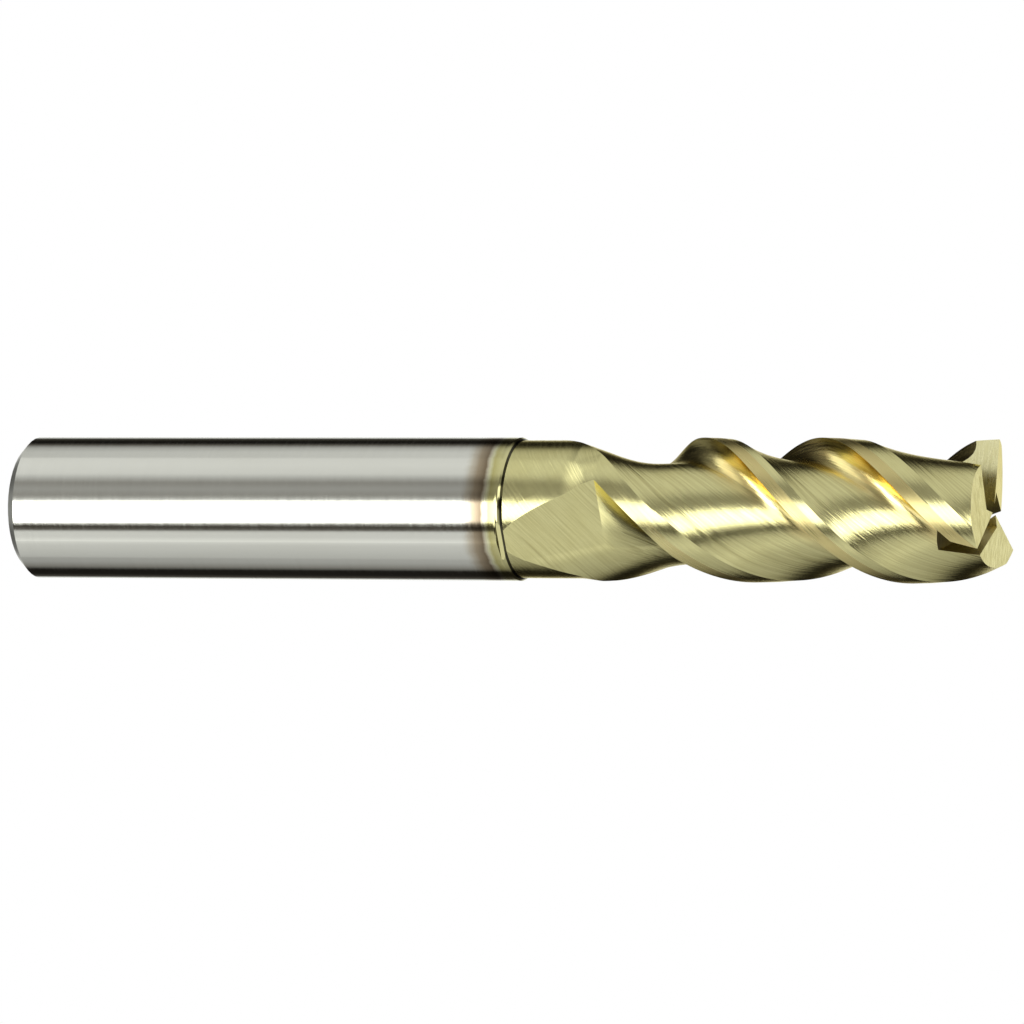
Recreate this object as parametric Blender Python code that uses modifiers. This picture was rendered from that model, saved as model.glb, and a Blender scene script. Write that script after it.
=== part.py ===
"""A three-flute solid carbide end mill, 12 mm cutting diameter, 86 mm long.

The tool axis runs along +X, from the rear face of the shank at X = 0 to the tip.
The shank is plain ground carbide. The neck and the cutting head are coated.
"""

import math

import bmesh
import bpy
import numpy as np
from mathutils import Vector

MM = 0.001

# Driving sizes, in millimetres.
CUTTING_DIAMETER = 12.0
OVERALL_LENGTH = 86.0
SHANK_LENGTH = 45.0
CUT_LENGTH = 36.0
CUTTING_RADIUS = CUTTING_DIAMETER / 2
SHANK_RADIUS = CUTTING_DIAMETER / 2
NECK_RADIUS = 0.4805 * CUTTING_DIAMETER
HEAD_START = OVERALL_LENGTH - CUT_LENGTH
REAR_CHAMFER = 0.75
STEP_CHAMFER = 0.35
HEAD_RAMP = 2.5

# Each tooth has its own lead, so the three helix angles differ and the tool runs quietly.
# The angle of its edge is read at the tip, from the top of the tool towards -Y.
TOOTH_ANGLES = (250.3, 363.0, 494.1)
TOOTH_LEADS = (36.3, 40.8, 40.3)
TEETH = len(TOOTH_ANGLES)

# A tooth's land, as an angle behind its edge and the radius there: a narrow margin, then a
# wider relief that ends in the heel. The heel is a share of the angle to the next tooth.
MARGIN_ANGLE = 13.0
MARGIN_RADIUS = 0.4965 * CUTTING_DIAMETER
RELIEF_ANGLE = 15.0
HEEL_RADIUS = 0.486 * CUTTING_DIAMETER
HEEL_SHARE = 0.22
HEEL_SHARE_AT_RUNOUT = 0.14
HEEL_OPENING = 3.0

# The flute ahead of it: a hooked rake face, a tight valley, then the long rounded back of the
# next tooth.
RAKE_ANGLE = 12.0
VALLEY_ANGLE = 20.0
VALLEY_RADIUS = 0.33 * CUTTING_DIAMETER
VALLEY_SLOPE = 10.0
BACK_START = 0.6

# Where the grinding wheel leaves the tool, the flutes stop turning and run out flat.
RUNOUT_BLEND = 60.0
RUNOUT_START = 53.0
RUNOUT_END = 44.4
RUNOUT_SPACING = 127.0
SCOOP_DIRECTION = 46.0
SCOOP_CREASE = 66.0
SCOOP_HALF_WIDTH = 50.0
SCOOP_RISE = 0.46
SCOOP_TAPER = 0.62

# The end teeth. Each end edge sits a little behind the side edge that it meets.
END_EDGE_SETBACK = 13.0
DISH_ANGLE = 1.5
END_RELIEF = 9.0
GASH_SLOPE = 37.0
GASH_LEAN = 17.0
GASH_WIDTH = 1.75
GASH_OUTER_WIDTH = 3.3
GASH_CENTRE_DEPTH = 0.8
GASH_PAST_CENTRE = 0.2
CUTTER_REACH = 1.4 * CUTTING_RADIUS
CUTTER_TOP = 3.0

ROUND_STEPS = 96
CURVE_SAMPLES = 150
FLUTE_POINTS = 17
RELIEF_POINTS = 2
MARGIN_POINTS = 2
HEAD_STATIONS = 62
NECK_STATIONS = 12


def clear_scene():
    for item in list(bpy.data.objects):
        bpy.data.objects.remove(item)


def collection(name, hidden):
    group = bpy.data.collections.new(name)
    bpy.context.scene.collection.children.link(group)
    group.hide_render = hidden
    return group


def material(name, colour, roughness):
    made = bpy.data.materials.new(name)
    made.use_nodes = True
    shader = made.node_tree.nodes["Principled BSDF"]
    shader.inputs["Base Color"].default_value = (*colour, 1.0)
    shader.inputs["Roughness"].default_value = roughness
    shader.inputs["Metallic"].default_value = 1.0
    return made


def add_object(name, mesh, group, look):
    made = bpy.data.objects.new(name, mesh)
    group.objects.link(made)
    if look:
        mesh.materials.append(look)
    return made


def polar(radius, degrees):
    """A point of the cross-section as a complex number. Zero is +Z, growing towards -Y."""
    return radius * np.exp(1j * np.radians(degrees))


def angle_of(points):
    return np.degrees(np.angle(points))


def smooth(value):
    value = min(1.0, max(0.0, value))
    return value * value * (3 - 2 * value)


def bezier(a, b, c, d):
    t = np.linspace(0, 1, CURVE_SAMPLES)
    s = 1 - t
    return a * s**3 + 3 * b * s * s * t + 3 * c * s * t * t + d * t**3


def tooth_angle(tooth, x):
    return TOOTH_ANGLES[tooth] - (OVERALL_LENGTH - x) / TOOTH_LEADS[tooth] * 360


def heel_angle(spacing, x):
    opened = 1 - math.exp(-max(0.0, x - RUNOUT_START) / HEEL_OPENING)
    return spacing * (HEEL_SHARE_AT_RUNOUT + (HEEL_SHARE - HEEL_SHARE_AT_RUNOUT) * opened)


def body_radius(x):
    """The turned outline that the flutes are cut into, from the neck forward."""
    return NECK_RADIUS + smooth((x - HEAD_START) / HEAD_RAMP) * (CUTTING_RADIUS - NECK_RADIUS)


def land_radius(behind, x):
    """Outline of a tooth's land, at an angle behind its edge."""
    relief = np.interp(
        behind,
        (0, MARGIN_ANGLE, MARGIN_ANGLE + RELIEF_ANGLE),
        (CUTTING_RADIUS, MARGIN_RADIUS, HEEL_RADIUS),
    )
    return np.minimum(relief, body_radius(x))


def flute_curve(spacing, heel):
    """The flute ahead of an edge at zero degrees, up to the heel of the next tooth ahead."""
    edge = polar(CUTTING_RADIUS, 0)
    valley = polar(VALLEY_RADIUS, VALLEY_ANGLE)
    under_edge = edge + polar(0.13 * CUTTING_DIAMETER, 180 + RAKE_ANGLE)
    into_valley = valley - polar(0.06 * CUTTING_DIAMETER, VALLEY_ANGLE + 90 - VALLEY_SLOPE)
    part = np.linspace(0, 1, CURVE_SAMPLES)[1:]
    rise = BACK_START * part + (1 - BACK_START) * part**3
    top = float(land_radius(heel, OVERALL_LENGTH))
    angles = VALLEY_ANGLE + part * (spacing - heel - VALLEY_ANGLE)
    back = polar(VALLEY_RADIUS * (top / VALLEY_RADIUS) ** rise, angles)
    return np.concatenate((bezier(edge, under_edge, into_valley, valley), back))


def scoop_curve(spacing, x):
    """The flute where it runs out: a flat facet, then a rounded rise to the body."""
    share = min(1.0, spacing / RUNOUT_SPACING)
    way = min(1.0, (x - RUNOUT_END) / (RUNOUT_START - RUNOUT_END))
    half_width = SCOOP_HALF_WIDTH * share * way**SCOOP_TAPER
    depth = NECK_RADIUS * math.cos(math.radians(half_width))
    direction = SCOOP_DIRECTION * share
    crease = SCOOP_CREASE * share
    facet = np.linspace(direction - 65, crease, CURVE_SAMPLES)
    flat = polar(depth / np.cos(np.radians(facet - direction)), facet)
    around = np.linspace(0, 60, CURVE_SAMPLES)[1:]
    rise = np.exp(SCOOP_RISE / share**2 * np.radians(around))
    return np.concatenate((flat, polar(abs(flat[-1]) * rise, crease + around)))


def crossing(depth, inside, outside):
    """Where the depth reaches zero between two neighbouring samples."""
    return inside + (outside - inside) * depth[inside] / (depth[inside] - depth[outside])


def flute_at(tooth, x):
    """Points along one flute at this station, cut off where they leave the body."""
    following = (tooth + 1) % TEETH
    turned_at = max(x, RUNOUT_START)
    start_angle = tooth_angle(tooth, turned_at)
    spacing = (tooth_angle(following, turned_at) - start_angle) % 360
    points = flute_curve(spacing, heel_angle(spacing, x))
    blend = smooth((RUNOUT_BLEND - x) / (RUNOUT_BLEND - RUNOUT_START))
    if blend:
        points = points * (1 - blend) + scoop_curve(spacing, x) * blend
    angles = angle_of(points) % 360
    behind = (tooth_angle(following, x) - start_angle) % 360 - angles
    beyond = (angles > 60) & (angles < 300)
    limit = np.where(beyond, land_radius(behind, x), body_radius(x))
    depth = limit + 1e-6 - np.abs(points)
    below = np.flatnonzero(depth > 0)
    first, last = below[0], below[-1]
    start = crossing(depth, first, first - 1) if first else 0.0
    end = crossing(depth, last, last + 1) if last < len(points) - 1 else float(last)
    length = np.concatenate(([0], np.cumsum(np.abs(np.diff(points)))))
    index = np.arange(len(points))
    ends = np.interp([start, end], index, length)
    wanted = np.interp(np.linspace(*ends, FLUTE_POINTS), length, index)
    kept = np.interp(wanted, index, points.real) + 1j * np.interp(wanted, index, points.imag)
    return kept * polar(1, start_angle)


def section(x):
    """The closed outline of the tool at this station: each flute, then the next tooth's land."""
    flutes = [flute_at(tooth, x) for tooth in range(TEETH)]
    outline = []
    for tooth in range(TEETH):
        heel = angle_of(flutes[tooth][-1])
        edge = angle_of(flutes[(tooth + 1) % TEETH][0])
        width = (edge - heel) % 360
        margin = min(MARGIN_ANGLE, width / 2)
        relief = np.linspace(width, margin, RELIEF_POINTS + 1)[1:]
        behind = np.concatenate((relief, np.linspace(margin, 0, MARGIN_POINTS + 1)[1:-1]))
        outline += [flutes[tooth], polar(land_radius(behind, x), edge - behind)]
    return np.concatenate(outline)


def loft(name, stations, group, look):
    """A closed solid through the tool's outline at each station."""
    shape = bmesh.new()
    rings = []
    for x in stations:
        ring = section(x) * MM
        rings.append([shape.verts.new((x * MM, -point.imag, point.real)) for point in ring])
    count = len(rings[0])
    for near, far in zip(rings, rings[1:]):
        for i in range(count):
            j = (i + 1) % count
            shape.faces.new((near[i], near[j], far[j]))
            shape.faces.new((near[i], far[j], far[i]))
    shape.faces.new(reversed(rings[0]))
    shape.faces.new(rings[-1])
    bmesh.ops.recalc_face_normals(shape, faces=shape.faces)
    mesh = bpy.data.meshes.new(name)
    shape.to_mesh(mesh)
    shape.free()
    return add_object(name, mesh, group, look)


def spread(start, end, count):
    return [start + (end - start) * i / count for i in range(count + 1)]


def turned(name, outline, group, look):
    """A solid of revolution about the X axis, from (x, radius) pairs given from rear to front."""
    shape = bmesh.new()
    ends = [(outline[0][0], 0.0)] + list(outline) + [(outline[-1][0], 0.0)]
    verts = [shape.verts.new((x * MM, 0, radius * MM)) for x, radius in ends]
    for a, b in zip(verts, verts[1:]):
        shape.edges.new((a, b))
    mesh = bpy.data.meshes.new(name)
    shape.to_mesh(mesh)
    shape.free()
    made = add_object(name, mesh, group, look)
    screw = made.modifiers.new("turn", "SCREW")
    screw.axis = "X"
    screw.steps = screw.render_steps = ROUND_STEPS
    screw.use_merge_vertices = True
    screw.merge_threshold = 0.00001
    screw.use_normal_calculate = True
    screw.use_smooth_shade = False
    return made


def hull(name, points, group):
    shape = bmesh.new()
    for point in points:
        shape.verts.new(point * MM)
    bmesh.ops.convex_hull(shape, input=shape.verts)
    bmesh.ops.recalc_face_normals(shape, faces=shape.faces)
    mesh = bpy.data.meshes.new(name)
    shape.to_mesh(mesh)
    shape.free()
    made = add_object(name, mesh, group, None)
    made.display_type = "WIRE"
    made.hide_render = True
    return made


def tip_point(edge_angle, outward, ahead, above):
    """A point near the tip, in the directions of one end edge."""
    flat = polar(outward, edge_angle) + polar(ahead, edge_angle + 90)
    return Vector((OVERALL_LENGTH + above, -flat.imag, flat.real))


def relief_cutter(tooth, group):
    """Everything above one end flank, back to just before the end edge of the tooth behind."""
    edge_angle = TOOTH_ANGLES[tooth] - END_EDGE_SETBACK
    behind = TOOTH_ANGLES[(tooth - 1) % TEETH] - END_EDGE_SETBACK
    sweep = (edge_angle - behind) % 360 - 12
    dish = CUTTING_RADIUS * math.tan(math.radians(DISH_ANGLE))
    points = []
    for angle in [None] + [sweep * i / 6 for i in range(7)]:
        outward = 0 if angle is None else CUTTER_REACH * math.cos(math.radians(angle))
        back = 0 if angle is None else CUTTER_REACH * math.sin(math.radians(angle))
        height = outward * math.tan(math.radians(DISH_ANGLE)) - dish
        height -= back * math.tan(math.radians(END_RELIEF))
        points.append(tip_point(edge_angle, outward, -back, height))
        points.append(tip_point(edge_angle, outward, -back, CUTTER_TOP))
    return hull(f"relief_cutter_{tooth + 1}", points, group)


def gash_cutter(tooth, group):
    """The leaning slot ahead of one end edge, deeper and wider towards the outside."""
    edge_angle = TOOTH_ANGLES[tooth] - END_EDGE_SETBACK
    lean = math.tan(math.radians(GASH_LEAN))
    points = []
    for outward, width in ((-GASH_PAST_CENTRE, GASH_WIDTH), (CUTTER_REACH, GASH_OUTER_WIDTH)):
        depth = GASH_CENTRE_DEPTH
        depth += (outward + GASH_PAST_CENTRE) * math.tan(math.radians(GASH_SLOPE))
        for ahead in (0, width):
            points.append(tip_point(edge_angle, outward, ahead - depth * lean, -depth))
            points.append(
                tip_point(edge_angle, outward, ahead + CUTTER_TOP * lean, CUTTER_TOP)
            )
    return hull(f"gash_cutter_{tooth + 1}", points, group)


def cut(target, cutter):
    boolean = target.modifiers.new(cutter.name, "BOOLEAN")
    boolean.operation = "DIFFERENCE"
    boolean.solver = "EXACT"
    boolean.object = cutter


clear_scene()
parts = collection("end_mill", False)
cutters = collection("cutters", True)
carbide = material("ground_carbide", (0.46, 0.45, 0.43), 0.22)
coating = material("pale_gold_coating", (0.60, 0.54, 0.30), 0.25)

shank_outline = (
    (0.0, SHANK_RADIUS - REAR_CHAMFER),
    (REAR_CHAMFER, SHANK_RADIUS),
    (SHANK_LENGTH - STEP_CHAMFER, SHANK_RADIUS),
    (SHANK_LENGTH, NECK_RADIUS),
)
turned("shank", shank_outline, parts, carbide)
loft("neck", spread(SHANK_LENGTH, HEAD_START, NECK_STATIONS), parts, coating)
head = loft("cutting_head", spread(HEAD_START, OVERALL_LENGTH, HEAD_STATIONS), parts, coating)
for number in range(TEETH):
    cut(head, relief_cutter(number, cutters))
for number in range(TEETH):
    cut(head, gash_cutter(number, cutters))
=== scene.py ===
import math

import bmesh
import bpy
import numpy as np
from mathutils import Matrix, Vector


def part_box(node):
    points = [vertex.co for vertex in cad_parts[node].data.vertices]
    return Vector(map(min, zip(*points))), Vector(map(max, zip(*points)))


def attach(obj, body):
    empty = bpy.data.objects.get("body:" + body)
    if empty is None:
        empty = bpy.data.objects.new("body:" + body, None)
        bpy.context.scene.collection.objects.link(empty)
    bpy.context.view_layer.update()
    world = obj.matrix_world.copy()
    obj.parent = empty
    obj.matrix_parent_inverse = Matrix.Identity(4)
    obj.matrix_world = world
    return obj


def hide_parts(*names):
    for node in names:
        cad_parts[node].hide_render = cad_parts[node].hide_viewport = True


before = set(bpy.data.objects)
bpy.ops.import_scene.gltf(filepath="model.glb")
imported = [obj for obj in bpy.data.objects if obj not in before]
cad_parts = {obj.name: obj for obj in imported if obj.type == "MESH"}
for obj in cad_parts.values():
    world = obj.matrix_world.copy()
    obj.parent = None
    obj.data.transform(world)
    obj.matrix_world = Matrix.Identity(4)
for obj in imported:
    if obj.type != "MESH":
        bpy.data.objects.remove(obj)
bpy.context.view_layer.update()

# ---------------------------------------------------------------- sizes, in millimetres

MM = 0.001


def span(node):
    """Where a CAD node starts and ends along the tool axis, in millimetres."""
    low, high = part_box(node)
    return low[0] / MM, high[0] / MM


SHANK_REAR, SHANK_FRONT = span("shank")
HEAD_START, TIP = span("cutting_head")
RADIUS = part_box("shank")[1][2] / MM
DIAMETER = 2 * RADIUS
NECK_RADIUS = 0.4805 * DIAMETER
REAR_CHAMFER = 0.75
STEP_CHAMFER = 0.35
# Length over which the neck swells to the cutting head.
HEAD_RAMP = 2.5

# Teeth: the angle of each edge at the tip, from +Z towards -Y, and its lead.
TOOTH_ANGLES = (250.3, 363.0, 494.1)
TOOTH_LEADS = (36.3, 40.8, 40.3)
TEETH = len(TOOTH_ANGLES)

# A tooth's land, as an angle behind its edge and the radius there: a narrow margin, then a
# wider relief that ends in the heel. The heel is a share of the angle to the next tooth.
MARGIN_ANGLE = 13.0
MARGIN_RADIUS = 0.4965 * DIAMETER
RELIEF_ANGLE = 15.0
HEEL_RADIUS = 0.486 * DIAMETER
HEEL_SHARE = 0.22
HEEL_SHARE_AT_RUNOUT = 0.14
HEEL_OPENING = 3.0

# Its flute: a hooked rake face, a tight valley, then the long rounded back of the next tooth.
RAKE_ANGLE = 12.0
RAKE_DEPTH = 0.13 * DIAMETER
HOOK_DEPTH = 0.06 * DIAMETER
VALLEY_ANGLE = 20.0
VALLEY_RADIUS = 0.33 * DIAMETER
VALLEY_SLOPE = 10.0
BACK_START = 0.6

# Where the wheel leaves the tool: the flutes stop turning with the teeth and run out flat.
RUNOUT_BLEND = 60.0
RUNOUT_START = 53.0
RUNOUT_END = 44.4
RUNOUT_SPACING = 127.0
SCOOP_DIRECTION = 46.0
SCOOP_CREASE = 66.0
SCOOP_HALF_WIDTH = 50.0
SCOOP_TAPER = 0.62
SCOOP_RISE = 0.46
SCOOP_BEFORE = 65.0
SCOOP_AFTER = 60.0
CLEAR_OF_BODY = 0.5

# Mesh density.
RAKE_SAMPLES = 120
BACK_SAMPLES = 200
FLUTE_POINTS = 90
RELIEF_POINTS = 16
MARGIN_POINTS = 12
STATION_STEP = 0.1
SHARP_ANGLE = 14.0


def polar(radius, degrees):
    """A point of the cross-section as a complex number, whose angle is the tooth angle."""
    return radius * np.exp(1j * np.radians(degrees))


def degrees_of(points):
    return np.degrees(np.angle(points))


def bezier(a, b, c, d):
    t = np.linspace(0, 1, RAKE_SAMPLES)
    s = 1 - t
    return a * s**3 + 3 * b * s * s * t + 3 * c * s * t * t + d * t**3


def tooth_angle(tooth, x):
    return TOOTH_ANGLES[tooth] - (TIP - x) / TOOTH_LEADS[tooth] * 360


def smooth(value):
    value = min(1.0, max(0.0, value))
    return value * value * (3 - 2 * value)


def heel_angle(spacing, x):
    opened = 1 - math.exp(-max(0.0, x - RUNOUT_START) / HEEL_OPENING)
    return spacing * (HEEL_SHARE_AT_RUNOUT + (HEEL_SHARE - HEEL_SHARE_AT_RUNOUT) * opened)


def body_radius(x):
    """The turned outline, before the flutes are ground."""
    if x < SHANK_FRONT:
        drop = max(0.0, (x - SHANK_FRONT + STEP_CHAMFER) / STEP_CHAMFER)
        return RADIUS - drop * (RADIUS - NECK_RADIUS)
    return NECK_RADIUS + smooth((x - HEAD_START) / HEAD_RAMP) * (RADIUS - NECK_RADIUS)


def land_radius(behind, x):
    """The land at an angle behind its edge. The shank and the neck have no teeth, so no relief."""
    body = body_radius(x)
    if x < HEAD_START:
        return np.full_like(np.asarray(behind, float), body)
    relief = np.interp(
        behind,
        (0, MARGIN_ANGLE, MARGIN_ANGLE + RELIEF_ANGLE),
        (RADIUS, MARGIN_RADIUS, HEEL_RADIUS),
    )
    return np.minimum(relief, body)


def flute_curve(spacing, heel):
    """The section of a flute, from its edge at angle zero to the heel of the tooth ahead."""
    edge = polar(RADIUS, 0)
    valley = polar(VALLEY_RADIUS, VALLEY_ANGLE)
    under_edge = edge + polar(RAKE_DEPTH, 180 + RAKE_ANGLE)
    into_valley = valley - polar(HOOK_DEPTH, VALLEY_ANGLE + 90 - VALLEY_SLOPE)
    rake = bezier(edge, under_edge, into_valley, valley)
    part = np.linspace(0, 1, BACK_SAMPLES)[1:]
    rise = BACK_START * part + (1 - BACK_START) * part**3
    top = float(land_radius(heel, TIP))
    angles = VALLEY_ANGLE + part * (spacing - heel - VALLEY_ANGLE)
    back = polar(VALLEY_RADIUS * (top / VALLEY_RADIUS) ** rise, angles)
    return np.concatenate((rake, back))


def scoop_curve(spacing, x):
    """The section where the wheel runs out: a flat facet, then a rounded rise to the body."""
    share = min(1.0, spacing / RUNOUT_SPACING)
    way = min(1.0, (x - RUNOUT_END) / (RUNOUT_START - RUNOUT_END))
    half_width = SCOOP_HALF_WIDTH * share * max(0.0, way) ** SCOOP_TAPER
    depth = NECK_RADIUS * math.cos(math.radians(half_width))
    if way < 0:
        depth = NECK_RADIUS + CLEAR_OF_BODY
    direction = SCOOP_DIRECTION * share
    crease = SCOOP_CREASE * share
    facet = np.linspace(direction - SCOOP_BEFORE, crease, RAKE_SAMPLES)
    flat = polar(depth / np.cos(np.radians(facet - direction)), facet)
    around = np.linspace(0, SCOOP_AFTER, BACK_SAMPLES)[1:]
    rise = np.exp(SCOOP_RISE / share**2 * np.radians(around))
    return np.concatenate((flat, polar(abs(flat[-1]) * rise, crease + around)))


def crossing(depth, inside, outside):
    """Where the depth reaches zero between two neighbouring samples."""
    return inside + (outside - inside) * depth[inside] / (depth[inside] - depth[outside])


def flute_at(tooth, x):
    """One flute at this station: its points, or None where the wheel has left the body.

    A point over 60 degrees ahead of the edge meets the next tooth's land, and the rest the body.
    """
    following = (tooth + 1) % TEETH
    turned_at = max(x, RUNOUT_START)
    start_angle = tooth_angle(tooth, turned_at)
    spacing = (tooth_angle(following, turned_at) - start_angle) % 360
    points = flute_curve(spacing, heel_angle(spacing, x))
    blend = smooth((RUNOUT_BLEND - x) / (RUNOUT_BLEND - RUNOUT_START))
    if blend:
        points = points * (1 - blend) + scoop_curve(spacing, x) * blend
    angles = degrees_of(points) % 360
    ahead = (angles > 60) & (angles < 300)
    behind = (tooth_angle(following, x) - start_angle) % 360 - angles
    limit = np.where(ahead, land_radius(behind, x), body_radius(x))
    depth = limit + 1e-6 - np.abs(points)
    below = np.flatnonzero(depth > 0)
    if len(below) < 3:
        return None
    first, last = below[0], below[-1]
    start = crossing(depth, first, first - 1) if first else 0.0
    end = crossing(depth, last, last + 1) if last < len(points) - 1 else float(last)
    length = np.concatenate(([0], np.cumsum(np.abs(np.diff(points)))))
    index = np.arange(len(points))
    ends = np.interp([start, end], index, length)
    wanted = np.interp(np.linspace(*ends, FLUTE_POINTS), length, index)
    kept = np.interp(wanted, index, points.real) + 1j * np.interp(wanted, index, points.imag)
    return kept * polar(1, start_angle)


def ring_at(x):
    """The outline of the whole tool at a station: for each tooth its flute, then the next land.

    The marks say how far each step of the outline starts and ends from its cutting edge, in
    millimetres: into the flute above zero, and back over the land below it.
    """
    flutes = [flute_at(tooth, x) for tooth in range(TEETH)]
    for tooth in range(TEETH):
        if flutes[tooth] is None:
            middle = tooth_angle(tooth, RUNOUT_START) + SCOOP_DIRECTION
            angles = np.linspace(middle - 0.5, middle + 0.5, FLUTE_POINTS)
            flutes[tooth] = polar(body_radius(x), angles)
    outline, starts, ends = [], [], []
    for tooth in range(TEETH):
        flute, next_flute = flutes[tooth], flutes[(tooth + 1) % TEETH]
        heel, edge = degrees_of(flute[-1]), degrees_of(next_flute[0])
        width = (edge - heel) % 360
        margin = min(MARGIN_ANGLE, width / 2)
        relief = np.linspace(width, margin, RELIEF_POINTS + 1)
        behind = np.concatenate((relief, np.linspace(margin, 0, MARGIN_POINTS + 1)[1:]))
        outline += [flute, polar(land_radius(behind[1:-1], x), edge - behind[1:-1])]
        along = np.concatenate(([0], np.cumsum(np.abs(np.diff(flute)))))
        back = -np.radians(behind) * RADIUS
        starts += [along[:-1], back[:-1]]
        ends += [along[1:], back[1:]]
    return [np.concatenate(part) for part in (outline, starts, ends)]


def tube_mesh(name, stations, rings):
    """A mesh through rings of the same length, closed with a cap at each end.

    Its UV map holds the distance from the cutting edge and the distance along the tool.
    """
    outlines, starts, ends = (np.array(part) for part in zip(*rings))
    rows, count = outlines.shape
    along = np.array(stations)
    points = np.empty((rows, count, 3))
    points[..., 0] = along[:, None]
    points[..., 1] = -outlines.imag
    points[..., 2] = outlines.real
    ids = np.arange(rows * count).reshape(rows, count)
    step = np.roll(ids, -1, axis=1)
    quads = np.stack((ids[:-1], ids[1:], step[1:], step[:-1]), axis=-1).reshape(-1, 4)
    caps = [ids[0].tolist(), ids[-1][::-1].tolist()]
    mesh = bpy.data.meshes.new(name)
    mesh.from_pydata((points.reshape(-1, 3) * MM).tolist(), [], quads.tolist() + caps)
    marks = np.zeros((len(mesh.loops), 2))
    across = np.stack((starts[:-1], starts[1:], ends[1:], ends[:-1]), axis=-1)
    near, far = along[:-1, None, None], along[1:, None, None]
    lengthways = np.concatenate((near, far, far, near), axis=-1) + np.zeros((1, count, 1))
    marks[: quads.size, 0] = across.ravel()
    marks[: quads.size, 1] = lengthways.ravel()
    mesh.uv_layers.new(name="section").data.foreach_set("uv", marks.ravel())
    mesh.shade_smooth()
    mesh.set_sharp_from_angle(angle=math.radians(SHARP_ANGLE))
    piece = bpy.data.objects.new(name, mesh)
    bpy.context.scene.collection.objects.link(piece)
    return piece


def stations_between(start, end):
    count = round((end - start) / STATION_STEP)
    return list(np.linspace(start, end, count + 1))


def make_shank():
    """The shank, with close stations only over the step, where the runouts reach into it."""
    plain_end = SHANK_FRONT - 1.2
    step_start = SHANK_FRONT - STEP_CHAMFER
    stations = [SHANK_REAR, REAR_CHAMFER] + list(np.linspace(REAR_CHAMFER, plain_end, 12))[1:]
    stations += stations_between(plain_end, step_start)[1:]
    stations += stations_between(step_start, SHANK_FRONT)[1:]
    rings = [ring_at(x) for x in stations]
    rings[0][0] *= (RADIUS - REAR_CHAMFER) / RADIUS
    return tube_mesh("ground_shank", stations, rings)


def make_neck():
    stations = stations_between(SHANK_FRONT, HEAD_START)
    return tube_mesh("coated_neck", stations, [ring_at(x) for x in stations])


def make_head():
    stations = stations_between(HEAD_START, TIP)
    return tube_mesh("fluted_head", stations, [ring_at(x) for x in stations])


# ---------------------------------------------------------------- end teeth

# Each end edge sits a little behind the side edge that it meets. The end is dished, its flanks
# fall away behind their edges, and a leaning gash is cut ahead of each edge.
END_EDGE_SETBACK = 13.0
DISH_ANGLE = 1.5
END_RELIEF = 9.0
GASH_SLOPE = 37.0
GASH_LEAN = 17.0
GASH_WIDTH = 1.75
GASH_OUTER_WIDTH = 3.3
GASH_CENTRE_DEPTH = 0.8
GASH_PAST_CENTRE = 0.2
CUTTER_REACH = 1.4 * RADIUS
CUTTER_TOP = 3.0
CUTTER_GAP = 12.0
CUTTER_STEPS = 6


def hull(name, points):
    """A convex cutter around these points, given in millimetres."""
    shape = bmesh.new()
    for point in points:
        shape.verts.new(point * MM)
    bmesh.ops.convex_hull(shape, input=shape.verts)
    bmesh.ops.recalc_face_normals(shape, faces=shape.faces)
    mesh = bpy.data.meshes.new(name)
    shape.to_mesh(mesh)
    shape.free()
    made = bpy.data.objects.new(name, mesh)
    bpy.context.scene.collection.objects.link(made)
    return made


def tip_point(edge_angle, outward, ahead, above):
    """A point near the tip, in the directions of one end edge."""
    flat = polar(outward, edge_angle) + polar(ahead, edge_angle + 90)
    return Vector((TIP + above, -flat.imag, flat.real))


def relief_cutter(tooth):
    """Everything above one end flank, back to just before the end edge of the tooth behind."""
    edge_angle = TOOTH_ANGLES[tooth] - END_EDGE_SETBACK
    behind = TOOTH_ANGLES[(tooth - 1) % TEETH] - END_EDGE_SETBACK
    sweep = (edge_angle - behind) % 360 - CUTTER_GAP
    dish = RADIUS * math.tan(math.radians(DISH_ANGLE))
    points = []
    rim = [math.radians(sweep * i / CUTTER_STEPS) for i in range(CUTTER_STEPS + 1)]
    corners = [(0, 0)]
    corners += [(CUTTER_REACH * math.cos(a), CUTTER_REACH * math.sin(a)) for a in rim]
    for outward, back in corners:
        height = outward * math.tan(math.radians(DISH_ANGLE)) - dish
        height -= back * math.tan(math.radians(END_RELIEF))
        points.append(tip_point(edge_angle, outward, -back, height))
        points.append(tip_point(edge_angle, outward, -back, CUTTER_TOP))
    return hull(f"relief_cutter_{tooth + 1}", points)


def gash_cutter(tooth):
    """A leaning slot ahead of the end edge that deepens and widens outwards."""
    edge_angle = TOOTH_ANGLES[tooth] - END_EDGE_SETBACK
    lean = math.tan(math.radians(GASH_LEAN))
    points = []
    for outward, width in ((-GASH_PAST_CENTRE, GASH_WIDTH), (CUTTER_REACH, GASH_OUTER_WIDTH)):
        depth = GASH_CENTRE_DEPTH
        depth += (outward + GASH_PAST_CENTRE) * math.tan(math.radians(GASH_SLOPE))
        for ahead in (0, width):
            points.append(tip_point(edge_angle, outward, ahead - depth * lean, -depth))
            points.append(
                tip_point(edge_angle, outward, ahead + CUTTER_TOP * lean, CUTTER_TOP)
            )
    return hull(f"gash_cutter_{tooth + 1}", points)


def paint_rake_wall(cutter, tooth):
    """Gives the tooth's own side of its gash the second material."""
    ahead = polar(1.0, TOOTH_ANGLES[tooth] - END_EDGE_SETBACK + 90)
    for face in cutter.data.polygons:
        facing = -face.normal.y * ahead.imag + face.normal.z * ahead.real
        face.material_index = int(facing < -0.8)


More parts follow.
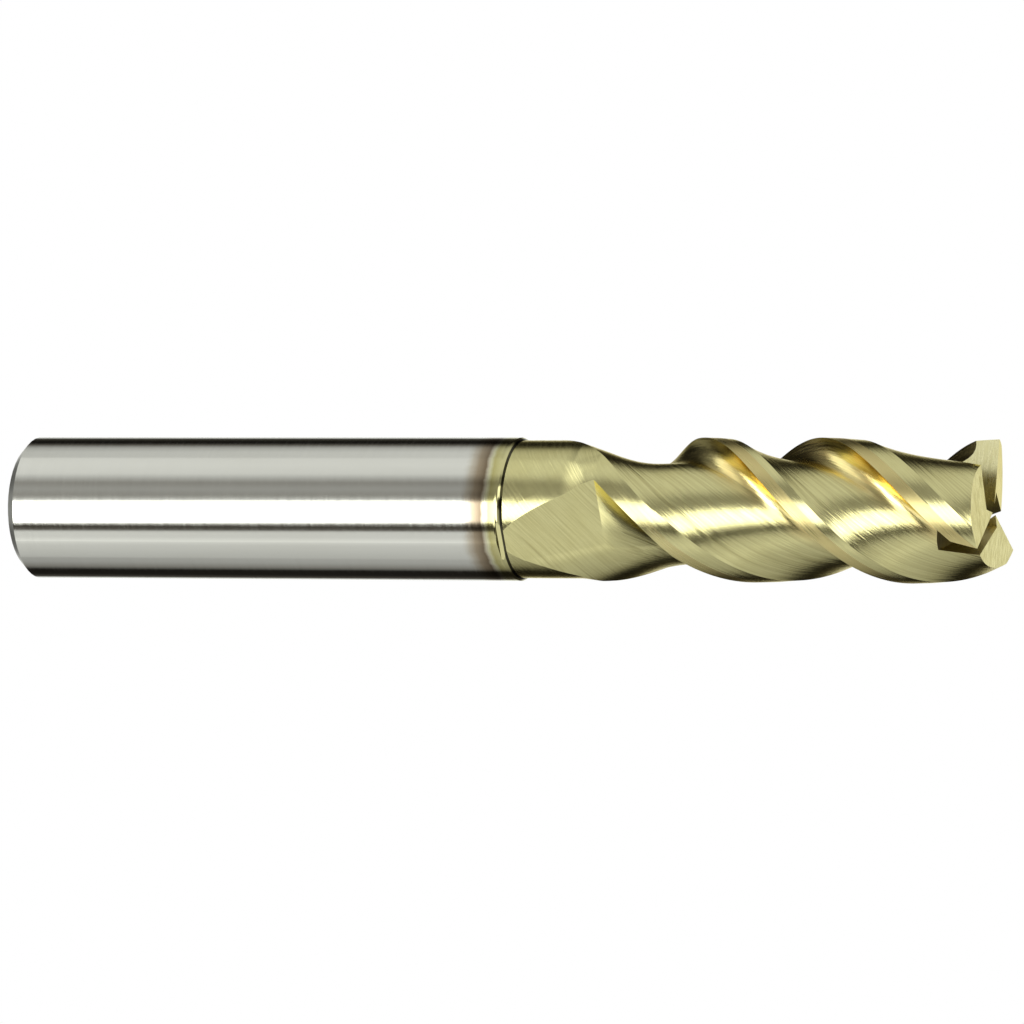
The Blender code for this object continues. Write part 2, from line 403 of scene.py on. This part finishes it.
def cut_end_teeth(head, flank_look, gash_shade_look):
    """Grinds the end flanks and gashes, whose cut faces take the cutters' materials."""
    cutters = []
    for make_cutter, look in ((relief_cutter, flank_look), (gash_cutter, gash_shade_look)):
        for tooth in range(TEETH):
            cutter = make_cutter(tooth)
            # On a gash cutter the first material is the darker bronze of painted shade. It goes on
            # every gash face except the tooth's own side.
            cutter.data.materials.append(look)
            cutter.data.materials.append(flank_look)
            paint_rake_wall(cutter, tooth)
            cutters.append(cutter)
            boolean = head.modifiers.new(cutter.name, "BOOLEAN")
            boolean.operation = "DIFFERENCE"
            boolean.solver = "EXACT"
            boolean.material_mode = "TRANSFER"
            boolean.object = cutter
    graph = bpy.context.evaluated_depsgraph_get()
    cut = bpy.data.meshes.new_from_object(head.evaluated_get(graph))
    head.modifiers.clear()
    head.data = cut
    head.data.shade_smooth()
    head.data.set_sharp_from_angle(angle=math.radians(SHARP_ANGLE))
    for cutter in cutters:
        bpy.data.objects.remove(cutter)


# ---------------------------------------------------------------- materials

# Colours of the bare carbide, of the coating where it is plain and clouded, of painted browner
# reflection on the margin and rake, of painted shade in the gashes, and of the coating in its
# grinding marks, at a grazing angle and on the end faces.
CARBIDE = (0.86, 0.855, 0.83)
GOLD = (0.77, 0.72, 0.38)
OLIVE = (0.68, 0.62, 0.29)
REFLECTION_TAN = (0.66, 0.50, 0.21)
GASH_SHADE_BRONZE = (0.34, 0.27, 0.12)
MARKS = (0.50, 0.45, 0.21)
GRAZING = (0.94, 0.86, 0.56)
END_GOLD = (0.86, 0.82, 0.52)
SMEAR = (0.70, 0.68, 0.62)
STEP_SHADOW = (0.05, 0.045, 0.02)

# The heat tint where the coating ends, over these positions along the tool.
TINT_START = 41.2
TINT_END = 45.0
TINT = (
    (0.0, CARBIDE),
    (0.10, (0.66, 0.61, 0.53)),
    (0.28, (0.42, 0.34, 0.25)),
    (0.53, (0.24, 0.18, 0.12)),
    (0.62, (0.62, 0.56, 0.44)),
    (0.70, (0.76, 0.74, 0.50)),
    (0.80, (0.60, 0.55, 0.24)),
    (1.0, GOLD),
)

# The grinding marks follow the flutes' mean lead, or slope down where the flutes run out.
MEAN_LEAD = 39.0
RUNOUT_MARK_SLOPE = 50.0

# How far into the flute the painted browner reflection on the rake face reaches, fading
# between these distances.
RAKE_TINT_FULL = 2.2
RAKE_TINT_END = 4.6


class Shader:
    """A metal material and the few kinds of node that the looks here are made from."""

    def __init__(self, name):
        self.material = bpy.data.materials.new(name)
        self.material.use_nodes = True
        self.tree = self.material.node_tree
        self.metal = self.tree.nodes["Principled BSDF"]
        self.metal.inputs["Metallic"].default_value = 1
        self.place = self.node("ShaderNodeTexCoord").outputs["Object"]

    def node(self, kind, **settings):
        made = self.tree.nodes.new(kind)
        for name, value in settings.items():
            setattr(made, name, value)
        return made

    def join(self, value, socket):
        if isinstance(value, (int, float)):
            socket.default_value = value
        elif isinstance(value, tuple):
            socket.default_value = (*value, 1) if socket.type == "RGBA" else value
        else:
            self.tree.links.new(value, socket)

    def math(self, operation, first, second=0.0):
        made = self.node("ShaderNodeMath", operation=operation)
        self.join(first, made.inputs[0])
        self.join(second, made.inputs[1])
        return made.outputs[0]

    def split(self, vector):
        made = self.node("ShaderNodeSeparateXYZ")
        self.join(vector, made.inputs[0])
        return made.outputs["X"], made.outputs["Y"], made.outputs["Z"]

    def vector(self, x, y, z):
        made = self.node("ShaderNodeCombineXYZ")
        for value, socket in zip((x, y, z), made.inputs):
            self.join(value, socket)
        return made.outputs[0]

    def stretched(self, vector, factors):
        """The same place with each direction multiplied, so that noise read there is drawn out."""
        made = self.node("ShaderNodeVectorMath", operation="MULTIPLY")
        self.join(vector, made.inputs[0])
        self.join(factors, made.inputs[1])
        return made.outputs[0]

    def noise(self, vector, scale, detail=3.0, roughness=0.6):
        made = self.node("ShaderNodeTexNoise")
        self.join(vector, made.inputs["Vector"])
        made.inputs["Scale"].default_value = scale
        made.inputs["Detail"].default_value = detail
        made.inputs["Roughness"].default_value = roughness
        return made.outputs["Fac"]

    def remap(self, value, low, high, to_low=0.0, to_high=1.0):
        made = self.node("ShaderNodeMapRange", interpolation_type="SMOOTHSTEP")
        self.join(value, made.inputs["Value"])
        self.join(low, made.inputs["From Min"])
        self.join(high, made.inputs["From Max"])
        self.join(to_low, made.inputs["To Min"])
        self.join(to_high, made.inputs["To Max"])
        return made.outputs["Result"]

    def mix(self, amount, first, second):
        made = self.node("ShaderNodeMix", data_type="RGBA")
        self.join(amount, made.inputs["Factor"])
        self.join(first, made.inputs["A"])
        self.join(second, made.inputs["B"])
        return made.outputs["Result"]

    def ramp(self, value, stops):
        made = self.node("ShaderNodeValToRGB")
        self.join(value, made.inputs["Fac"])
        elements = made.color_ramp.elements
        elements[0].position, elements[1].position = stops[0][0], stops[-1][0]
        elements[0].color, elements[1].color = (*stops[0][1], 1), (*stops[-1][1], 1)
        for position, colour in stops[1:-1]:
            elements.new(position).color = (*colour, 1)
        return made.outputs["Color"]

    def bump(self, height, depth, under=None):
        made = self.node("ShaderNodeBump")
        made.inputs["Distance"].default_value = depth
        self.join(height, made.inputs["Height"])
        if under:
            self.join(under, made.inputs["Normal"])
        return made.outputs["Normal"]

    def finish(self, colour, roughness, normal):
        self.join(colour, self.metal.inputs["Base Color"])
        self.join(roughness, self.metal.inputs["Roughness"])
        self.join(normal, self.metal.inputs["Normal"])
        return self.material


def untwisted(look):
    """The place turned back by the flutes' mean helix, where their grinding marks run straight."""
    x, y, z = look.split(look.place)
    turn = look.math("MULTIPLY", x, 2 * math.pi / (MEAN_LEAD * MM))
    cosine, sine = look.math("COSINE", turn), look.math("SINE", turn)
    across = look.math("ADD", look.math("MULTIPLY", y, cosine), look.math("MULTIPLY", z, sine))
    up = look.math("SUBTRACT", look.math("MULTIPLY", z, cosine), look.math("MULTIPLY", y, sine))
    return look.vector(x, across, up)


def slanted(look):
    """The place turned to the slope of the wheel marks where the flutes run out flat."""
    x, _, z = look.split(look.place)
    slope = math.radians(RUNOUT_MARK_SLOPE)
    cosine, sine = math.cos(slope), math.sin(slope)
    along = look.math("SUBTRACT", look.math("MULTIPLY", x, cosine), look.math("MULTIPLY", z, sine))
    up = look.math("ADD", look.math("MULTIPLY", x, sine), look.math("MULTIPLY", z, cosine))
    return look.vector(along, 0.0, up)


def coated(look, marks_along, base_depth, colour, roughness, strength=1.0):
    """The coating over ground carbide: streaks and scratches that follow the grinding wheel.

    marks_along(stretch, scale, detail) gives noise drawn out along the wheel's path.
    """
    streaks = marks_along(0.03, 5200, 4)
    fine = marks_along(0.015, 16000, 2)
    deep = look.remap(marks_along(0.05, 1500, 2), 0.60, 0.67)
    cloud = look.noise(look.place, 420, 4)
    colour = look.mix(look.remap(cloud, 0.35, 0.75, 0.0, 0.35), colour, OLIVE)
    marked = look.math("MULTIPLY", look.remap(streaks, 0.38, 0.62, 0.0, 0.36), strength)
    colour = look.mix(marked, colour, MARKS)
    deep = look.math("MULTIPLY", deep, strength)
    colour = look.mix(look.math("MULTIPLY", deep, 0.45), colour, MARKS)
    roughness = look.math("ADD", roughness, look.remap(streaks, 0.3, 0.7, -0.03, 0.06))
    normal = look.bump(streaks, base_depth)
    normal = look.bump(fine, base_depth * 0.35, normal)
    normal = look.bump(deep, base_depth * 0.4, normal)
    look.join(GRAZING, look.metal.inputs["Specular Tint"])
    return look.finish(colour, roughness, normal)


def coated_teeth(name):
    """Coating on the flutes and lands, with a painted browner reflection on the rake face and along
    the margin.
    """
    look = Shader(name)
    section = look.node("ShaderNodeUVMap", uv_map="section").outputs[0]
    from_edge, along, _ = look.split(section)
    margin = math.radians(MARGIN_ANGLE) * RADIUS
    on_margin = look.math(
        "MULTIPLY",
        look.math("GREATER_THAN", from_edge, -margin),
        look.math("LESS_THAN", from_edge, -0.001),
    )
    reached = look.remap(along, RUNOUT_START, RUNOUT_BLEND + 4)
    on_margin = look.math("MULTIPLY", on_margin, reached)
    in_flute = look.math("GREATER_THAN", from_edge, 0)
    on_rake = look.math("MULTIPLY", look.remap(from_edge, RAKE_TINT_END, RAKE_TINT_FULL), in_flute)
    on_rake = look.math("MULTIPLY", on_rake, reached)
    patchy = look.noise(look.place, 260, 3)
    # The tan mixed in below is painted reflection. It is strong and patchy at random on the rake
    # face, and weaker along the margin.
    tint = look.math("MULTIPLY", on_rake, look.remap(patchy, 0.35, 0.62, 0.55, 1.0))
    tint = look.math("MAXIMUM", tint, look.math("MULTIPLY", on_margin, 0.6))
    colour = look.mix(tint, GOLD, REFLECTION_TAN)
    roughness = look.math("ADD", 0.17, look.math("MULTIPLY", on_margin, 0.12))
    is_cut = look.math("GREATER_THAN", from_edge, 0.05)
    strength = look.math("ADD", 0.25, look.math("MULTIPLY", is_cut, 0.75))
    on_helix, on_runout = untwisted(look), slanted(look)
    turning = look.remap(along, RUNOUT_START - 0.5, RUNOUT_START + 3)

    def marks(stretch, scale, detail):
        straight = look.noise(look.stretched(on_runout, (stretch, 1.0, 1.0)), scale, detail)
        helical = look.noise(look.stretched(on_helix, (stretch, 1.0, 1.0)), scale, detail)
        difference = look.math("SUBTRACT", helical, straight)
        return look.math("ADD", straight, look.math("MULTIPLY", difference, turning))

    return coated(look, marks, 0.00002, colour, roughness, strength)


def coated_ends(name, colour, roughness):
    """Coating on the end faces and gashes, which are ground straight across."""
    look = Shader(name)

    def marks(stretch, scale, detail):
        return look.noise(look.stretched(look.place, (1.0, 1.0, stretch * 4)), scale, detail)

    return coated(look, marks, 0.000006, colour, roughness)


def ground_shank(name):
    """Bare carbide, ground all round, with the coating's heat tint at its front end."""
    look = Shader(name)
    x, _, _ = look.split(look.place)
    lines = look.noise(look.stretched(look.place, (1.0, 0.02, 0.02)), 9000, 4)
    waves = look.noise(look.stretched(look.place, (1.0, 0.04, 0.04)), 900, 2)
    smears = look.noise(look.stretched(look.place, (0.25, 1.0, 1.0)), 330, 4)
    wander = look.math("MULTIPLY", look.math("SUBTRACT", smears, 0.5), 0.0012)
    place = look.remap(look.math("ADD", x, wander), TINT_START * MM, TINT_END * MM)
    shadow_start = (SHANK_FRONT - STEP_CHAMFER * 0.6) * MM
    shadow_full = (SHANK_FRONT - STEP_CHAMFER * 0.5) * MM
    on_step = look.remap(x, shadow_start, shadow_full)
    front = look.mix(on_step, look.ramp(place, TINT), STEP_SHADOW)
    colour = look.mix(look.remap(smears, 0.4, 0.8, 0.0, 0.12), front, SMEAR)
    roughness = look.math("ADD", 0.09, look.remap(lines, 0.3, 0.7, -0.02, 0.05))
    normal = look.bump(lines, 0.000003)
    normal = look.bump(waves, 0.000006, normal)
    return look.finish(colour, roughness, normal)


# ---------------------------------------------------------------- light and camera

# Brightness of the studio around the tool, by angle about the tool axis from the camera's side
# upwards, in degrees: a tall white lamp in front, a black gap below and above the tool's back,
# and pale walls between. Each row is (angle, brightness) and they blend from row to row.
ROOM = (
    (-180, 1.05),
    (-168, 0.95),
    (-155, 0.07),
    (-140, 0.015),
    (-122, 0.012),
    (-112, 0.26),
    (-100, 0.42),
    (-80, 0.52),
    (-65, 0.60),
    (-56, 0.85),
    (-48, 0.66),
    (-38, 0.66),
    (-35.5, 0.10),
    (-30, 0.05),
    (-24, 0.08),
    (-21, 0.24),
    (-18.5, 2.9),
    (10, 2.9),
    (14.5, 0.48),
    (22, 0.26),
    (32, 0.33),
    (43, 0.25),
    (51, 0.45),
    (58, 0.66),
    (75, 0.72),
    (104, 0.67),
    (116, 0.50),
    (125, 0.12),
    (133, 0.008),
    (142, 0.012),
    (155, 0.06),
    (168, 0.95),
)
# The walls are nearly white. Below this brightness the light gets warmer.
WALL_TINT = (0.985, 1.0, 0.93)
DARK_TINT = (1.0, 0.90, 0.70)
WALL_LEVEL = 0.35
# The lamp leans: towards the tip the whole room is seen this much higher.
LEAN = 0.72
LEAN_CENTRE = -0.349
# Brightness changes towards the ends of the room, each over a stretch of the direction's X:
# (from, to, factor at from, factor at to).
PAST_TIP = (0.58, 0.78, 1.0, 0.3)
REAR_BEHIND = (-0.7, -0.3, 0.25, 1.0)
REAR_IN_FRONT = (-0.62, -0.42, 2.4, 1.0)


def math_node(tree, operation, first, second):
    node = tree.nodes.new("ShaderNodeMath")
    node.operation = operation
    for socket, value in zip(node.inputs, (first, second)):
        if isinstance(value, (int, float)):
            socket.default_value = value
        else:
            tree.links.new(value, socket)
    return node.outputs[0]


def end_levels(tree, x, y):
    """The room is darker beyond the tip and behind the rear, and brighter in front of the rear."""
    levels = []
    for bounds in (PAST_TIP, REAR_BEHIND, REAR_IN_FRONT):
        made = tree.nodes.new("ShaderNodeMapRange")
        tree.links.new(x, made.inputs["Value"])
        for name, value in zip(("From Min", "From Max", "To Min", "To Max"), bounds):
            made.inputs[name].default_value = value
        levels.append(made.outputs["Result"])
    past_tip, rear_behind, rear_front = levels
    in_front = math_node(tree, "LESS_THAN", y, 0)
    change = math_node(tree, "SUBTRACT", rear_front, rear_behind)
    rear = math_node(tree, "ADD", rear_behind, math_node(tree, "MULTIPLY", change, in_front))
    return math_node(tree, "MULTIPLY", past_tip, rear)


def room_colour(tree, x, y, z):
    """The studio's colour in a direction, by its angle about the tool axis."""
    forward = math_node(tree, "MAXIMUM", math_node(tree, "MULTIPLY", y, -1), 0)
    aside = math_node(tree, "SUBTRACT", x, LEAN_CENTRE)
    rise = math_node(tree, "MULTIPLY", aside, math_node(tree, "MULTIPLY", forward, LEAN))
    height = math_node(tree, "SUBTRACT", z, rise)
    turn = math_node(tree, "ARCTAN2", height, math_node(tree, "MULTIPLY", y, -1))
    scale = tree.nodes.new("ShaderNodeMapRange")
    scale.inputs["From Min"].default_value = -math.pi
    scale.inputs["From Max"].default_value = math.pi
    tree.links.new(turn, scale.inputs["Value"])
    ramp = tree.nodes.new("ShaderNodeValToRGB")
    tree.links.new(scale.outputs["Result"], ramp.inputs["Fac"])
    elements = ramp.color_ramp.elements
    elements.remove(elements[-1])
    elements[0].position = 0
    for row, (angle, level) in enumerate(ROOM):
        stop = elements.new((angle + 180) / 360) if row else elements[0]
        dim = max(0.0, 1 - level / WALL_LEVEL)
        tints = (wall + (dark - wall) * dim for wall, dark in zip(WALL_TINT, DARK_TINT))
        stop.color = (*(level * tint for tint in tints), 1)
    return ramp.outputs["Color"]


def make_room():
    """The studio, which the tool reflects. The camera itself sees plain white behind it."""
    world = bpy.data.worlds.new("studio")
    bpy.context.scene.world = world
    world.use_nodes = True
    tree = world.node_tree
    tree.nodes.clear()
    place = tree.nodes.new("ShaderNodeTexCoord")
    split = tree.nodes.new("ShaderNodeSeparateXYZ")
    tree.links.new(place.outputs["Generated"], split.inputs[0])
    x, y, z = (split.outputs[axis] for axis in "XYZ")
    background = tree.nodes.new("ShaderNodeBackground")
    tree.links.new(room_colour(tree, x, y, z), background.inputs["Color"])
    tree.links.new(end_levels(tree, x, y), background.inputs["Strength"])
    direct = tree.nodes.new("ShaderNodeBackground")
    direct.inputs["Color"].default_value = (1, 1, 1, 1)
    seen = tree.nodes.new("ShaderNodeLightPath")
    mix = tree.nodes.new("ShaderNodeMixShader")
    tree.links.new(seen.outputs["Is Camera Ray"], mix.inputs["Fac"])
    tree.links.new(background.outputs[0], mix.inputs[1])
    tree.links.new(direct.outputs[0], mix.inputs[2])
    out = tree.nodes.new("ShaderNodeOutputWorld")
    tree.links.new(mix.outputs[0], out.inputs["Surface"])
    bpy.context.scene.view_settings.view_transform = "Standard"


CAMERA_AZIMUTH = 20.41
CAMERA_ROLL = 0.214
CAMERA_DISTANCE = 55.79 * DIAMETER
FOCAL_LENGTH = 281.25
LOOK_AT = 43.76
LOOK_DOWN = 0.02 * DIAMETER


def make_camera():
    """A long lens far away, on the -Y side and turned towards the tip."""
    data = bpy.data.cameras.new("camera")
    camera = bpy.data.objects.new("camera", data)
    bpy.context.scene.collection.objects.link(camera)
    bpy.context.scene.camera = camera
    azimuth = math.radians(CAMERA_AZIMUTH)
    away = Vector((math.sin(azimuth), -math.cos(azimuth), 0))
    camera.location = Vector((LOOK_AT, 0, -LOOK_DOWN)) * MM
    camera.location += away * CAMERA_DISTANCE * MM
    facing = Matrix.Rotation(azimuth, 4, "Z") @ Matrix.Rotation(math.radians(90), 4, "X")
    roll = Matrix.Rotation(math.radians(CAMERA_ROLL), 4, "Z")
    camera.rotation_euler = (facing @ roll).to_euler()
    data.lens = FOCAL_LENGTH
    data.clip_end = 20


# In metres.
FLOOR_RADIUS = 1.25
FLOOR_DROP = 0.2


def make_floor():
    """A pale floor far below the tool. The tool doesn't mirror it, so that it shows the room."""
    bpy.ops.mesh.primitive_circle_add(
        vertices=128, radius=FLOOR_RADIUS, fill_type="NGON", location=(TIP / 2 * MM, 0, -FLOOR_DROP)
    )
    floor = bpy.context.object
    floor.name = "floor"
    floor.visible_glossy = False
    paint = bpy.data.materials.new("floor_paint")
    paint.use_nodes = True
    shader = paint.node_tree.nodes["Principled BSDF"]
    shader.inputs["Base Color"].default_value = (0.9, 0.9, 0.89, 1)
    shader.inputs["Roughness"].default_value = 0.9
    floor.data.materials.append(paint)


# ---------------------------------------------------------------- the tool

teeth_coating = coated_teeth("pale_gold_coating_teeth")
end_coating = coated_ends("pale_gold_coating_ends", END_GOLD, 0.27)
# The gashes' darker bronze coating is painted shade.
gash_shade_coating = coated_ends("pale_gold_coating_gash_shade", GASH_SHADE_BRONZE, 0.32)
shank = make_shank()
neck = make_neck()
head = make_head()
shank.data.materials.append(ground_shank("ground_carbide_shank"))
neck.data.materials.append(teeth_coating)
head.data.materials.append(teeth_coating)
cut_end_teeth(head, end_coating, gash_shade_coating)
for piece, node, slot in (
    (shank, "shank", "ground_carbide"),
    (neck, "neck", "pale_gold_coating"),
    (head, "cutting_head", "pale_gold_coating"),
):
    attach(piece, "root")
    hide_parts(node)
make_floor()
make_room()
make_camera()
